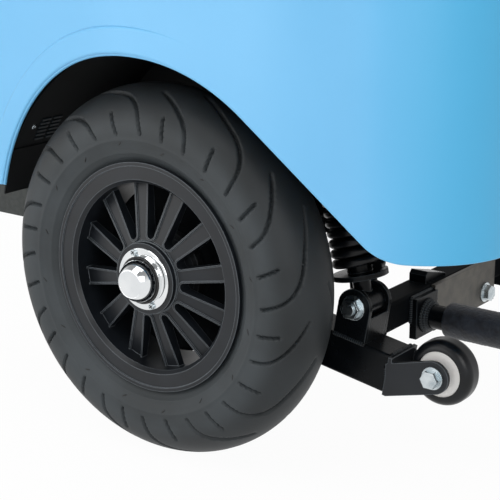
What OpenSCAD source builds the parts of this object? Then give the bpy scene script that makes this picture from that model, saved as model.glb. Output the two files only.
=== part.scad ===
// Rear corner of a small electric scooter: wheel, trailing arm, spring leg, anti-tip roller, mudguard.
// Lengths in mm, +X to the rear, -Y outboard, +Z up. Drawn about the wheel centre, then moved so that
// the origin is the middle of the chassis flange.

/* [Tyre] */
// Outer radius of the tyre
tyre_r = 188; // [170:1:205]
// Radius of the rim on which the beads sit
seat_r = 101.6; // [95:0.1:110]
// Thickness of the carcass
carcass_wall = 8; // [5:0.5:12]
// Thickness of a bead
bead_w = 10; // [7:0.5:12]

/* [Rim] */
// Clearance between the rim's lip and the tyre's side
lip_gap = 0.2; // [0.1:0.1:1]
// Inner face of the flange that holds a bead
flange_in = 32; // [28:0.5:36]
// Outer face of the lip's raised edge
lip_out = 37.5; // [34:0.5:42]
// Width of the lip's raised edge
lip_edge = 4; // [2:0.5:8]
// Depth of the flat band below the raised edge
lip_step = 1.4; // [0.5:0.1:3]
// Depth of the flat band's inner edge below the bead seat
band_drop = 3.6; // [1:0.1:6]
// Thickness of the barrel
barrel_t = 7.1; // [5:0.1:12]
// Number of spokes
spokes = 12; // [6:1:18]
// Angle of the first spoke, from the rear upward
spoke_phase = 11; // [0:1:30]
// Width of a spoke at the hub
spoke_w_in = 14; // [8:0.5:18]
// Width of a spoke at the barrel
spoke_w_out = 19; // [10:0.5:24]
// Width of the raised edge of a spoke
spoke_rib = 1.8; // [1:0.1:4]
// Height of the raised edge over the spoke's face
spoke_channel = 2.2; // [1:0.1:5]
// Radius at which the gaps between spokes begin
gap_r = 44; // [42:1:60]
// Front face of the spokes at the hub
spoke_front_in = 33; // [26:0.5:37]
// Front face of the spokes at the barrel
spoke_front_out = 19; // [10:0.5:28]
// Depth of a spoke at the hub
spoke_depth_in = 14; // [10:0.5:26]
// Depth of a spoke at the barrel
spoke_depth_out = 8; // [6:0.5:18]
// Radius of the middle boss
boss_r = 36; // [32:0.5:42]
// Front face of the middle boss
boss_out = 38; // [34:0.5:42]
// Depth of the boss behind the spokes
boss_tail = 15; // [6:0.5:20]

/* [Hub and cap] */
// Radius of the hub in the rim's bore
hub_r = 28; // [22:0.5:31]
// Radius of the hub's flange
hub_flange_r = 42; // [36:0.5:50]
// Thickness of the hub's flange
hub_flange_t = 8; // [5:0.5:12]
// Inner end of the hub
hub_in = 30; // [20:1:36]
// Thickness of the hub's solid nose
hub_nose = 18; // [10:0.5:24]
// Gap between the nose and the end of the axle
axle_gap = 6; // [2:0.5:10]
// Outer radius of the brake drum
drum_r = 87; // [70:1:90]
// Wall of the brake drum
drum_wall = 4; // [3:0.5:6]
// Radius of the drum's seat on the hub's flange
drum_seat_r = 46; // [43:0.5:52]
// Depth of the drum's dished face
drum_dish = 4; // [2:0.5:8]
// Inner end of the brake drum
drum_in = 35; // [30:1:36]
// Radius of the brake's fixed plate
brake_plate_r = 86; // [70:1:90]
// Thickness of the brake's fixed plate
brake_plate_t = 3; // [2:0.5:4]
// Radius of the stub axle
axle_r = 10; // [8:0.5:14]
// Radius of the cap's flange
cap_r = 31.3; // [28:0.1:36]
// Thickness of the cap's flange
cap_t = 2; // [1:0.25:4]
// Height of the raised seat under the dome
cap_rise = 4; // [2:0.5:6]
// Slope of the raised seat's side
cap_slope = 0.6; // [0.2:0.1:0.8]
// Radius of the cap's round dome
dome_r = 21.5; // [18:0.5:23]
// Height of the dome's flat front over the flange
dome_h = 20; // [12:0.5:24]
// Width of the dark ring round the dome
ring_w = 2.4; // [1:0.1:4]
// Height of the dark ring
ring_h = 1.6; // [0.5:0.1:3]
// Radius at which the cap's screws sit
screw_at = 27.8; // [26:0.1:30]
// Radius of a screw's head
screw_r = 3; // [2:0.1:4]
// Height of a screw's head
screw_h = 2.2; // [1:0.1:4]
// Angle of the first screw
screw_angle = 113; // [0:1:180]
// Angle of the tyre's valve
valve_angle = -94; // [-180:1:180]
// Radius of the valve's stem
valve_r = 3.6; // [2.5:0.1:5]
// Length of the valve inside the barrel
valve_len = 24; // [12:1:34]
// Radius of the valve's cap
valve_cap_r = 4.8; // [3.5:0.1:6]
// Length of the valve's cap
valve_cap_len = 11; // [6:0.5:16]

/* [Trailing arm] */
// Side of the arm's box section
arm_side = 40; // [30:1:50]
// Wall of the arm's box section
arm_wall = 3; // [2:0.5:5]
// Radius of the arm's rounded edges
arm_edge_r = 3; // [1:0.5:5]
// Middle of the arm, inboard of the wheel
arm_y = 80; // [72:1:92]
// Slope of the arm, down to the rear
arm_slope = 9.3; // [0:0.1:15]
// Forward distance of the arm's pivot
pivot_x = -215; // [-260:1:-180]
// Height of the arm's pivot
pivot_z = -9.2; // [-30:0.1:10]
// Length of the arm from its pivot to its rear end
arm_len = 440; // [400:1:480]
// Outer radius of the pivot's sleeve
sleeve_r = 22; // [16:0.5:28]
// Distance by which the sleeve stands out on the wheel's side
sleeve_step_out = 2; // [1:0.5:6]
// Distance by which the sleeve stands out on the frame's side
sleeve_step_in = 4; // [1:0.5:8]
// Radius of the pivot's bolt
pivot_r = 8; // [6:0.5:10]
// Thickness of the plate that carries the axle
axle_plate_t = 10; // [6:0.5:14]
// Radius of the axle plate round the axle
axle_plate_r = 34; // [26:1:42]
// Radius of the axle's flange
axle_flange_r = 24; // [18:1:30]
// Thickness of the axle's flange
axle_flange_t = 6; // [4:0.5:10]

/* [Spring leg] */
// Rearward distance of the lower bolt
leg_low_x = 180; // [165:1:195]
// Height of the lower bolt
leg_low_z = -20; // [-35:1:-5]
// Rearward distance of the upper bolt
leg_top_x = 131; // [110:1:150]
// Height of the upper bolt
leg_top_z = 210; // [180:1:240]
// Half width of a bracket ear
ear_half = 18; // [14:0.5:24]
// Thickness of a bracket ear
ear_t = 4.5; // [3:0.5:8]
// Distance of the bracket's back plate below the bolt
ear_back_drop = 7; // [5:0.5:12]
// Thickness of the bracket's back plate
ear_back_t = 3.5; // [2:0.5:4]
// Radius of the leg's bolts
leg_bolt_r = 6; // [5:0.5:8]
// Outer radius of an eye
eye_r = 14; // [11:0.5:18]
// Radius of the neck over an eye
neck_r = 9; // [6:0.5:12]
// Radius of a spring seat
seat_disc_r = 27.5; // [22:0.5:32]
// Thickness of a spring seat
seat_disc_t = 5; // [3:0.5:8]
// Distance of the lower seat from the lower bolt
seat_low = 26; // [20:1:36]
// Distance of the upper seat from the upper bolt
seat_high = 40; // [28:1:60]
// Outer radius of the coil
coil_r = 26; // [20:0.5:28]
// Thickness of the coil's wire
wire_d = 8; // [5:0.5:10]
// Turns of the coil
turns = 15; // [6:1:16]
// Radius of the damper's tube
damper_r = 12.5; // [10:0.5:13]
// Share of the distance between seats that the damper's tube takes
damper_share = 0.62; // [0.4:0.01:0.8]
// Radius of the damper's rod
rod_r = 6; // [4:0.5:8]

/* [Anti-tip roller] */
// Rearward distance of the roller's axis from the arm's end
roller_reach = 51.28; // [40:0.01:70]
// Height of the roller's axis over the arm's end
roller_rise = 9.8; // [0:0.1:20]
// Radius of the roller
roller_r = 32.5; // [25:0.5:40]
// Width of the roller
roller_w = 26; // [18:0.5:26]
// Radius of the roller's rounded shoulder
roller_edge = 9; // [3:0.5:12]
// Radius of the pale hub
roller_hub_r = 22.5; // [15:0.5:25]
// Depth by which the hub's face is sunk
roller_sink = 1.2; // [0.5:0.1:3]
// Radius of the roller's bolt
roller_bolt_r = 5; // [4:0.5:6]
// Height of the fork's side strips
fork_h = 32; // [26:1:38]
// Thickness of the fork's strip
fork_t = 4; // [3:0.5:6]
// Height of the strips' root below the arm's middle
fork_drop = 4; // [0:0.5:8]
// Length of a strip beyond the arm's end
fork_root = 20; // [12:1:30]

/* [Frame] */
// Side of the frame's box tubes
tube_side = 30; // [24:1:40]
// Wall of the frame's box tubes
tube_wall = 2.5; // [2:0.5:4]
// Radius of the box tubes' rounded edges
tube_edge_r = 3; // [2.5:0.5:6]
// Front face of the cross-member
cross_x = 152; // [140:1:165]
// Underside of the cross-member
cross_z = -64; // [-75:1:-50]
// Outboard end of the cross-member
cross_y = 104; // [103:1:110]
// Outboard face of the chassis flange's plate
flange_y = 394; // [350:1:450]
// Thickness of the chassis flange
flange_t = 6; // [4:0.5:10]
// Width of the chassis flange
flange_w = 90; // [70:1:120]
// Height of the chassis flange
flange_h = 70; // [60:1:100]
// Distance between the flange's holes along its width
hole_dx = 66; // [50:1:90]
// Distance between the flange's holes along its height
hole_dz = 48; // [44:1:70]
// Radius of the flange's holes
hole_r = 4.25; // [3:0.25:6.5]
// Outboard face of the shock tower
tower_y = 112; // [110:1:114]
// Thickness of the shock tower
tower_t = 8; // [5:0.5:12]
// Half width of the shock tower at its top
tower_half = 15; // [12:0.5:20]
// Front face of the tower's foot
tower_foot_x = 144; // [140:1:152]
// Width of the tower's foot
tower_foot_w = 28; // [24:1:36]
// Underside of the upper side rail
rail_z = 45; // [30:1:60]
// Underside of the front lower rail
front_rail_z = -22; // [-35:1:-10]
// Height of the front lower rail
front_rail_h = 36; // [30:1:40]
// Front end of the front lower rail
front_rail_x = -380; // [-420:1:-340]
// Length of the front lower rail
front_rail_len = 230; // [200:1:260]
// Radius of the pivot's lug
lug_r = 24; // [18:1:30]
// Rear end of the upper side rail
rail_rear_x = 158; // [150:1:165]

/* [Rear bar] */
// Outboard edge of the welded plate
weld_y = 165; // [155:1:175]
// Width of the welded plate
weld_w = 43; // [34:1:50]
// Thickness of the welded plate
weld_t = 8; // [5:0.5:10]
// Underside of the welded plate
weld_z = -81; // [-90:1:-74]
// Height of the welded plate
weld_h = 43; // [34:1:50]
// Middle of the rear bar
bar_y = 187; // [180:1:194]
// Height of the rear bar
bar_z = -60; // [-66:1:-54]
// Radius of the rear bar
bar_r = 12.5; // [9:0.5:16]
// Rear end of the rear bar
bar_end = 335; // [290:1:380]
// Radius of the bar's soft sleeve
grip_r = 18.5; // [15:0.5:22]
// Front end of the soft sleeve
grip_x = 215; // [205:1:230]
// Bare length of bar behind the sleeve
grip_bare = 6; // [3:0.5:20]
// Thickness of the rear plate
back_t = 5; // [3:0.5:8]
// Width of the rear plate
back_w = 136; // [110:1:160]
// Height of the rear plate
back_h = 50; // [40:1:60]
// Inboard distance of the rear plate's bolt
back_bolt_y = 321; // [300:1:335]
// Height of the rear plate's bolt
back_bolt_z = -70; // [-76:1:-60]
// Outboard edge of the gusset
tab_y = 205; // [195:1:240]
// Width of the gusset
tab_w = 42; // [18:1:60]
// Height of the gusset at its outboard edge
tab_h = 13; // [8:0.5:26]
// Height of the gusset at its inboard edge
tab_end_h = 3; // [2:0.5:6]
// Bevel of the gusset's upper corner
tab_bevel = 4; // [2:0.5:8]
// Thickness of the gusset
tab_t = 20; // [3:0.5:24]

/* [Mudguard] */
// Outboard face of the mudguard
guard_y = -60; // [-70:1:-52]
// Inboard edge of the mudguard
guard_in = 150; // [146:1:160]
// Front end of the mudguard
guard_front = -300; // [-320:1:-250]
// Rear end of the mudguard
guard_rear = 355; // [320:1:400]
// Underside of the mudguard at its front
guard_low = 62; // [50:1:70]
// Underside of the mudguard behind the wheel
guard_low_rear = 72; // [66:1:84]
// Top of the mudguard
guard_top = 346; // [300:1:380]
// Wall of the mudguard
guard_wall = 4; // [2.5:0.5:6]
// Outboard position of the front corner
guard_front_y = -2; // [-30:1:0]
// Rearward position of the bend toward the front
guard_bend_x = -20; // [-60:1:20]
// Radius of that bend
guard_bend_r = 400; // [200:10:600]
// Radius of the rear corner
guard_corner_r = 90; // [65:1:110]
// Radius of the upper edges
guard_edge_r = 60; // [30:1:80]
// Rearward offset of the arch
arch_x = 3; // [-5:0.5:10]
// Radius of the arch
arch_r = 221.5; // [210:0.5:235]
// Rearward position at which the arch's sloping edge ends
slope_x = 278; // [250:1:300]
// Radius of the corner at the end of the slope
slope_r = 65; // [20:1:80]
// Thickness of the inner panel
panel_t = 3; // [2:0.5:5]
// Underside of the inner panel
panel_low = 20; // [10:1:40]
// Rearward position at which the panel's underside steps up
panel_step = 230; // [180:1:280]
// Clearance of the liner outside the arch
liner_gap = 5.5; // [3:0.5:10]
// Thickness of the liner
liner_t = 3; // [2:0.5:5]
// Outboard edge of the liner
liner_y = -12; // [-14:1:20]
// Angle of the liner's rear end, from the rear upward
liner_from = 66; // [64:1:90]
// Angle of the liner's front end
liner_to = 158; // [120:1:159]

/* [Hidden] */
$fn = 96;
over = 1;
slip = 0.05;
shoulder = 1;
half_share = 0.5;
turn = 360;
corner_over = 4;

band_r = seat_r - band_drop;
barrel_r = seat_r - barrel_t;
spoke_step = turn / spokes;
tyre_half = (tyre_r - seat_r) * half_share;
section_at = tyre_r - tyre_half;
side_r = section_at - sqrt(tyre_half * tyre_half - flange_in * flange_in);
bead_top = side_r + bead_w;
lip_r = side_r - lip_gap;
hub_bore_end = hub_nose - boss_out;
axle_end = hub_bore_end + axle_gap;
axle_face = arm_y - arm_side * half_share - axle_plate_t;
brake_y = axle_face - axle_flange_t - brake_plate_t;
boss_back = spoke_front_in - spoke_depth_in - boss_tail;
drum_y = hub_flange_t - boss_back;
web_bite = 2;

arm_half = arm_side * half_share;
arm_out = arm_y - arm_half;
arm_in = arm_y + arm_half;
sleeve_out = arm_out - sleeve_step_out;
sleeve_in = arm_in + sleeve_step_in;
low_dx = leg_low_x - pivot_x;
low_dz = leg_low_z - pivot_z;
low_u = low_dx * cos(arm_slope) - low_dz * sin(arm_slope);
low_w = low_dx * sin(arm_slope) + low_dz * cos(arm_slope);
leg_dx = leg_low_x - leg_top_x;
leg_dz = leg_top_z - leg_low_z;
leg_len = sqrt(leg_dx * leg_dx + leg_dz * leg_dz);
leg_lean = atan2(leg_dx, leg_dz);
eye_w = arm_side - 2 * ear_t;
seat_low_top = seat_low + seat_disc_t;
seat_high_low = leg_len - seat_high - seat_disc_t;
coil_len = seat_high_low - seat_low_top;
coil_pitch = coil_len / turns;
coil_mid = coil_r - wire_d * half_share;
wire_r = wire_d * half_share;
damper_len = coil_len * damper_share;
coil_points = 16;
coil_slices = 12;
bend_steps = 4;

fork_half = arm_half + fork_t;
fork_axle_half = fork_h * half_share;
arm_end_x = pivot_x + arm_len * cos(arm_slope);
arm_end_z = pivot_z - arm_len * sin(arm_slope);
roller_x = arm_end_x + roller_reach;
roller_z = arm_end_z + roller_rise;
fork_dz = roller_rise + fork_drop;
fork_rise = atan2(fork_dz, roller_reach);
fork_len = sqrt(roller_reach * roller_reach + fork_dz * fork_dz) + fork_root;
hex_h = 7;
thin_hex_h = 6;
leg_hex_r = 10.5;
roller_hex_r = 9;
washer_t = 2;

cross_top = cross_z + tube_side;
cross_back = cross_x + tube_side;
rail_y = tower_y + tower_t;
flange_face = flange_y + flange_t;
origin_x = cross_x + tube_side * half_share;
origin_z = cross_z + tube_side * half_share;
front_rail_top = front_rail_z + front_rail_h;
back_y = weld_y + weld_w;
tower_spacer_r = 10;

slope_dx = slope_x - arch_x;
slope_dist = sqrt(slope_dx * slope_dx + guard_low_rear * guard_low_rear);
slope_turn = atan2(guard_low_rear, slope_dx) + acos(arch_r / slope_dist);
liner_r = arch_r + liner_gap;
far = 600;

function arc_point(r, a) = [r * cos(a), r * sin(a)];
function spoke_edge(r, w) = [
  r * cos(spoke_step * half_share) + w * half_share * sin(spoke_step * half_share),
  r * sin(spoke_step * half_share) - w * half_share * cos(spoke_step * half_share)
];
function flip(p) = [p[0], -p[1]];
function unit(v) = v / norm(v);
function coil_point(t) = arc_point(coil_mid + wire_r * cos(t), wire_r * sin(t) * turn / coil_pitch);

// Move from the wheel centre to the chassis flange
module seated() {
  translate([-origin_x, -flange_face, -origin_z]) children();
}

// Turn a profile of radius and outboard distance round the axle
module lathe() {
  rotate([-90, 0, 0]) rotate_extrude() children();
}

// Draw a side view and give it a width inboard from y
module side(y, w) {
  translate([0, y + w, 0]) rotate([90, 0, 0]) linear_extrude(height = w) children();
}

// A pin along Y
module pin(r, y, w) {
  translate([0, y + w, 0]) rotate([90, 0, 0]) cylinder(r = r, h = w);
}

// A hexagon along Y
module hex(r, y, w) {
  translate([0, y + w, 0]) rotate([90, 0, 0]) cylinder(r = r, h = w, $fn = 6);
}

// The arm's own frame, from the pivot along the arm
module along_arm() {
  translate([pivot_x, 0, pivot_z]) rotate([0, arm_slope, 0]) children();
}

// The spring leg's own frame, from the lower bolt upward
module along_leg() {
  translate([leg_low_x, arm_y, leg_low_z]) rotate([0, -leg_lean, 0]) children();
}

// A convex outline with rounded corners
module rounded(points, radii) {
  n = len(points);
  difference() {
    polygon(points);
    for (i = [0 : n - 1])
      if (radii[i] > 0) corner_cut(points[i], points[(i + n - 1) % n], points[(i + 1) % n], radii[i]);
  }
}

module corner_cut(p, before, after, r) {
  a = unit(before - p);
  b = unit(after - p);
  half = acos(a * b) * half_share;
  reach = r / tan(half);
  mid = p + unit(a + b) * r / sin(half);
  ta = p + a * reach;
  tb = p + b * reach;
  difference() {
    polygon([mid, ta + unit(ta - mid) * over, p + unit(p - mid) * corner_over, tb + unit(tb - mid) * over]);
    translate(mid) circle(r = r);
  }
}

// A rectangle with one radius at all corners, drawn g inside its outer edge
module soft_rect(w, h, r, g) {
  rounded([[g, g], [w - g, g], [w - g, h - g], [g, h - g]], [r, r, r, r]);
}

// Draw a section across X and give it a length rearward from x
module along_x(x, l) {
  translate([x, 0, 0]) rotate([90, 0, 90]) linear_extrude(height = l) children();
}

// A box tube along X
module box_x(x, y, z, l, w, h) {
  translate([0, y, z]) difference() {
    along_x(x, l) soft_rect(w, h, tube_edge_r, 0);
    along_x(x - over, l + 2 * over) soft_rect(w, h, tube_edge_r - tube_wall, tube_wall);
  }
}

module tyre() {
  color("#2b2d2f") lathe() difference() {
    union() {
      translate([section_at, 0]) circle(r = tyre_half);
      translate([seat_r, -flange_in]) square([bead_top - seat_r, flange_in * 2]);
    }
    translate([0, -tyre_half * 2]) square([seat_r, tyre_half * 4]);
    translate([section_at, 0]) circle(r = tyre_half - carcass_wall);
    translate([seat_r - over, bead_w - flange_in]) square([tyre_half, (flange_in - bead_w) * 2]);
  }
}

module barrel() {
  band = lip_out - lip_step;
  lathe() polygon([
    [seat_r - slip, -flange_in], [lip_r, -flange_in], [lip_r, -lip_out], [lip_r - lip_edge, -lip_out],
    [lip_r - lip_edge, -band], [band_r, -band], [barrel_r, -flange_in], [barrel_r, flange_in],
    [band_r, band], [lip_r - lip_edge, band], [lip_r - lip_edge, lip_out], [lip_r, lip_out],
    [lip_r, flange_in], [seat_r - slip, flange_in]
  ]);
}

// Gaps between the spokes, each drawn g outside its edge
module spoke_gaps(g) {
  inner = spoke_edge(gap_r, spoke_w_in - 2 * g);
  outer = spoke_edge(band_r + over, spoke_w_out - 2 * g);
  for (i = [0 : spokes - 1])
    rotate(spoke_phase + spoke_step * (i + half_share)) {
      polygon([inner, outer, flip(outer), flip(inner)]);
      translate([inner[0], 0]) circle(r = inner[1]);
    }
}

// The face of the spokes is sunk, all but a raised edge round each gap
module rim() {
  web_r = barrel_r + web_bite;
  color("#3c4042") difference() {
    union() {
      barrel();
      difference() {
        lathe() polygon([
          [hub_r - over, -spoke_front_in], [boss_r - over, -spoke_front_in], [web_r, -spoke_front_out],
          [web_r, spoke_depth_out - spoke_front_out], [boss_r - over, spoke_depth_in - spoke_front_in],
          [hub_r - over, spoke_depth_in - spoke_front_in]
        ]);
        side(-boss_out - over, boss_out * 2) spoke_gaps(0);
        intersection() {
          side(-boss_out - over, boss_out * 2) difference() {
            circle(r = web_r + over);
            spoke_gaps(spoke_rib);
          }
          lathe() polygon([
            [boss_r + over, -boss_out], [web_r + over, -boss_out],
            [web_r + over, spoke_channel - spoke_front_out], [boss_r + over, spoke_channel - spoke_front_in]
          ]);
        }
      }
      pin(boss_r, -boss_out, boss_out - boss_back);
    }
    pin(hub_r + slip, -boss_out - over, boss_out * 2);
  }
}

// Dished drum on the hub, open toward the arm
module brake_drum() {
  dished = drum_y + drum_dish;
  knee = drum_seat_r + drum_dish;
  color("#1b1d1e") lathe() polygon([
    [hub_r + slip, drum_y], [drum_seat_r, drum_y], [knee, dished], [drum_r - drum_wall, dished],
    [drum_r, dished + drum_wall], [drum_r, drum_in], [drum_r - drum_wall, drum_in],
    [drum_r - drum_wall, dished + drum_wall], [knee, dished + drum_wall], [drum_seat_r, drum_y + drum_wall],
    [hub_r + slip, drum_y + drum_wall]
  ]);
}

// Fixed plate of the brake, against the axle's flange
module brake_plate() {
  color("#1b1d1e") difference() {
    pin(brake_plate_r, brake_y, brake_plate_t);
    pin(axle_r + slip, brake_y - over, brake_plate_t + 2 * over);
  }
}

module hub() {
  color("#6c7073") difference() {
    union() {
      pin(hub_r, -boss_out, boss_out + hub_in);
      pin(hub_flange_r, -boss_back, hub_flange_t);
    }
    pin(axle_r + slip, hub_bore_end, boss_out * 3);
  }
}

module cap() {
  seat_top = cap_t + cap_rise;
  ring_r = dome_r + ring_w;
  foot_r = ring_r + cap_slope;
  color("#d9dcde") translate([0, -boss_out, 0]) rotate([90, 0, 0]) rotate_extrude() {
    square([cap_r, cap_t]);
    polygon([[0, 0], [foot_r, 0], [foot_r, cap_t], [ring_r, seat_top], [0, seat_top]]);
    intersection() {
      translate([0, seat_top]) circle(r = dome_r);
      square([dome_r, cap_t + dome_h]);
    }
  }
}

module cap_ring() {
  color("#141617") difference() {
    pin(dome_r + ring_w, -boss_out - cap_t - cap_rise - ring_h, ring_h);
    pin(dome_r + slip, -boss_out * 2, boss_out * 2);
  }
}

module cap_screw(a) {
  color("#c2c8cb") rotate([0, -a, 0]) translate([screw_at, 0, 0])
    pin(screw_r, -boss_out - cap_t - screw_h, screw_h);
}

module cap_screw_upper() {
  cap_screw(screw_angle);
}

module cap_screw_lower() {
  cap_screw(screw_angle + turn * half_share);
}

module valve() {
  color("#1d1f20") rotate([0, -valve_angle, 0]) {
    translate([barrel_r - valve_len, 0, 0]) rotate([0, 90, 0]) cylinder(r = valve_r, h = valve_len);
    translate([barrel_r - valve_len, 0, 0]) rotate([0, 90, 0])
      cylinder(r = valve_cap_r, h = valve_cap_len);
  }
}

module arm() {
  color("#16191b") difference() {
    union() {
      along_arm() translate([0, arm_out, -arm_half]) difference() {
        along_x(0, arm_len) soft_rect(arm_side, arm_side, arm_edge_r, 0);
        translate([sleeve_r * 2, arm_wall, arm_wall])
          cube([arm_len, arm_side - 2 * arm_wall, arm_side - 2 * arm_wall]);
      }
      translate([pivot_x, 0, pivot_z]) pin(sleeve_r, sleeve_out, sleeve_in - sleeve_out);
    }
    translate([pivot_x, 0, pivot_z]) pin(pivot_r + slip, sleeve_out - over, arm_side * 2);
  }
}

module axle_plate() {
  color("#16191b") side(axle_face, axle_plate_t) {
    circle(r = axle_plate_r);
    translate([-axle_plate_r, -axle_plate_r * 2]) square([axle_plate_r * 2, axle_plate_r * 2]);
  }
}

module stub_axle() {
  color("#8b9093") {
    pin(axle_r, axle_end, axle_face - axle_end);
    pin(axle_flange_r, axle_face - axle_flange_t, axle_flange_t);
  }
}

module ear(y) {
  color("#16191b") along_arm() difference() {
    side(y, ear_t) {
      translate([low_u, low_w]) circle(r = ear_half);
      translate([low_u - ear_half, arm_half]) square([ear_half * 2, low_w - arm_half]);
    }
    translate([low_u, 0, low_w]) pin(leg_bolt_r + slip, y - over, ear_t + 2 * over);
  }
}

module ear_outer() {
  ear(arm_out);
}

module ear_inner() {
  ear(arm_in - ear_t);
}

// Plate that joins the ears behind the bolt
module ear_back() {
  color("#16191b") along_arm() translate([low_u + ear_half - ear_back_t, arm_out + ear_t, arm_half])
    cube([ear_back_t, eye_w, low_w - arm_half - ear_back_drop]);
}

module leg_bolt() {
  color("#b9c2c6") translate([leg_low_x, 0, leg_low_z]) {
    pin(leg_bolt_r, arm_out - hex_h - washer_t * 2, arm_side + hex_h + washer_t * 2);
    hex(leg_hex_r, arm_in, thin_hex_h);
  }
}

module leg_nut() {
  color("#b9c2c6") translate([leg_low_x, 0, leg_low_z]) difference() {
    union() {
      pin(leg_hex_r + washer_t, arm_out - washer_t, washer_t);
      hex(leg_hex_r, arm_out - washer_t - hex_h, hex_h);
    }
    pin(leg_bolt_r + slip, arm_out - hex_h * 2, hex_h * 3);
  }
}

module damper() {
  color("#1b1e20") along_leg() difference() {
    union() {
      pin(eye_r, -eye_w * half_share, eye_w);
      cylinder(r = neck_r, h = seat_low + over);
      translate([0, 0, seat_low]) cylinder(r = seat_disc_r, h = seat_disc_t);
      translate([0, 0, seat_low]) cylinder(r = damper_r, h = damper_len);
    }
    pin(leg_bolt_r + slip, -eye_w, eye_w * 2);
  }
}

module spring_top() {
  color("#1b1e20") along_leg() difference() {
    union() {
      translate([0, 0, leg_len]) pin(eye_r, -eye_w * half_share, eye_w);
      translate([0, 0, leg_len - seat_high]) cylinder(r = neck_r, h = seat_high);
      translate([0, 0, seat_high_low]) cylinder(r = seat_disc_r, h = seat_disc_t);
    }
    translate([0, 0, leg_len]) pin(leg_bolt_r + slip, -eye_w, eye_w * 2);
  }
}

module rod() {
  start = seat_low + damper_len;
  color("#c4c9cc") along_leg() translate([0, 0, start]) cylinder(r = rod_r, h = seat_high_low - start);
}

module coil() {
  color("#121415") along_leg() translate([0, 0, seat_low_top])
    linear_extrude(coil_len, twist = -turn * turns, slices = coil_slices * turns, $fn = coil_points)
      polygon([for (i = [0 : coil_points - 1]) coil_point(turn * i / coil_points)]);
}

module fork() {
  plate_y = arm_y - fork_half;
  color("#2a2d2f") difference() {
    union() {
      along_arm() translate([arm_len, plate_y, -arm_half]) cube([fork_t, fork_half * 2, arm_side]);
      fork_strip(plate_y);
      fork_strip(arm_y + fork_half - fork_t);
    }
    translate([roller_x, 0, roller_z]) pin(roller_bolt_r + slip, plate_y - over, arm_side * 2);
  }
}

// A strip with an upright front edge at the end of the arm
module fork_strip(y) {
  side(y, fork_t) intersection() {
    translate([roller_x, roller_z]) rotate(fork_rise) {
      circle(r = fork_axle_half);
      translate([-fork_len, -fork_axle_half]) square([fork_len, fork_h]);
    }
    translate([arm_end_x, -far]) square([far, far * 2]);
  }
}

module roller_tread() {
  half = roller_w * half_share;
  color("#1a1c1d") translate([roller_x, arm_y, roller_z]) lathe() difference() {
    rounded(
      [[0, -half], [roller_r, -half], [roller_r, half], [0, half]],
      [0, roller_edge, roller_edge, 0]
    );
    translate([0, -half - over]) square([roller_hub_r, roller_w + 2 * over]);
  }
}

module roller_hub() {
  half = roller_w * half_share - roller_sink;
  color("#e0dedb") translate([roller_x, arm_y, roller_z]) difference() {
    pin(roller_hub_r - slip, -half, half * 2);
    pin(roller_bolt_r + slip, -roller_w, roller_w * 2);
  }
}

module roller_bolt() {
  out = arm_y - fork_half;
  color("#b9c2c6") translate([roller_x, 0, roller_z]) {
    pin(roller_bolt_r, out, fork_half * 2 + hex_h + washer_t * 2);
    pin(roller_hex_r + washer_t, out - washer_t, washer_t);
    hex(roller_hex_r, out - washer_t - hex_h, hex_h);
  }
}

module roller_nut() {
  inner = arm_y + fork_half;
  color("#b9c2c6") translate([roller_x, 0, roller_z]) difference() {
    hex(roller_hex_r, inner, hex_h);
    pin(roller_bolt_r + slip, inner - over, hex_h + 2 * over);
  }
}

module cross_member() {
  color("#121416") difference() {
    translate([cross_x, 0, cross_z]) side(cross_y, flange_y - cross_y)
      soft_rect(tube_side, tube_side, tube_edge_r, 0);
    translate([cross_x, 0, cross_z]) side(cross_y + tube_wall, flange_y)
      soft_rect(tube_side, tube_side, tube_edge_r - tube_wall, tube_wall);
  }
}

module chassis_flange() {
  color("#16191b") difference() {
    translate([origin_x - flange_w * half_share, flange_y, origin_z - flange_h * half_share])
      cube([flange_w, flange_t, flange_h]);
    for (i = [-1, 1])
      for (k = [-1, 1])
        translate([origin_x + i * hole_dx * half_share, 0, origin_z + k * hole_dz * half_share])
          pin(hole_r, flange_y - over, flange_t + 2 * over);
  }
}

module tower() {
  color("#121416") difference() {
    side(tower_y, tower_t) {
      polygon([
        [tower_foot_x, cross_top], [tower_foot_x + tower_foot_w, cross_top],
        [leg_top_x + tower_half, leg_top_z], [leg_top_x - tower_half, leg_top_z]
      ]);
      translate([leg_top_x, leg_top_z]) circle(r = tower_half);
    }
    translate([leg_top_x, 0, leg_top_z]) pin(leg_bolt_r + slip, tower_y - over, tower_t + 2 * over);
  }
}

module top_spacer() {
  color("#6c7073") translate([leg_top_x, 0, leg_top_z]) difference() {
    pin(tower_spacer_r, arm_y + eye_w * half_share, tower_y - arm_y - eye_w * half_share);
    pin(leg_bolt_r + slip, arm_y, tower_y);
  }
}

module top_bolt() {
  out = arm_y - eye_w * half_share;
  color("#b9c2c6") translate([leg_top_x, 0, leg_top_z]) {
    pin(leg_bolt_r, out, tower_y + tower_t - out + hex_h + washer_t);
    hex(leg_hex_r, out - thin_hex_h, thin_hex_h);
  }
}

module top_nut() {
  color("#b9c2c6") translate([leg_top_x, 0, leg_top_z]) difference() {
    hex(leg_hex_r, tower_y + tower_t, hex_h);
    pin(leg_bolt_r + slip, tower_y, tower_t * 3);
  }
}

module side_rail() {
  color("#121416") box_x(pivot_x, rail_y, rail_z, rail_rear_x - pivot_x, tube_side, tube_side);
}

module front_rail() {
  color("#121416") box_x(front_rail_x, rail_y, front_rail_z, front_rail_len, tube_side, front_rail_h);
}

module kick_post() {
  color("#121416") translate([pivot_x, rail_y, front_rail_top])
    cube([tube_side, tube_side, rail_z - front_rail_top]);
}

module pivot_lug() {
  color("#16191b") translate([pivot_x, 0, pivot_z]) difference() {
    side(sleeve_in, rail_y - sleeve_in) {
      circle(r = lug_r);
      translate([-lug_r, 0]) square([lug_r * 2, lug_r]);
    }
    pin(pivot_r + slip, sleeve_in - over, tube_side);
  }
}

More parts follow.
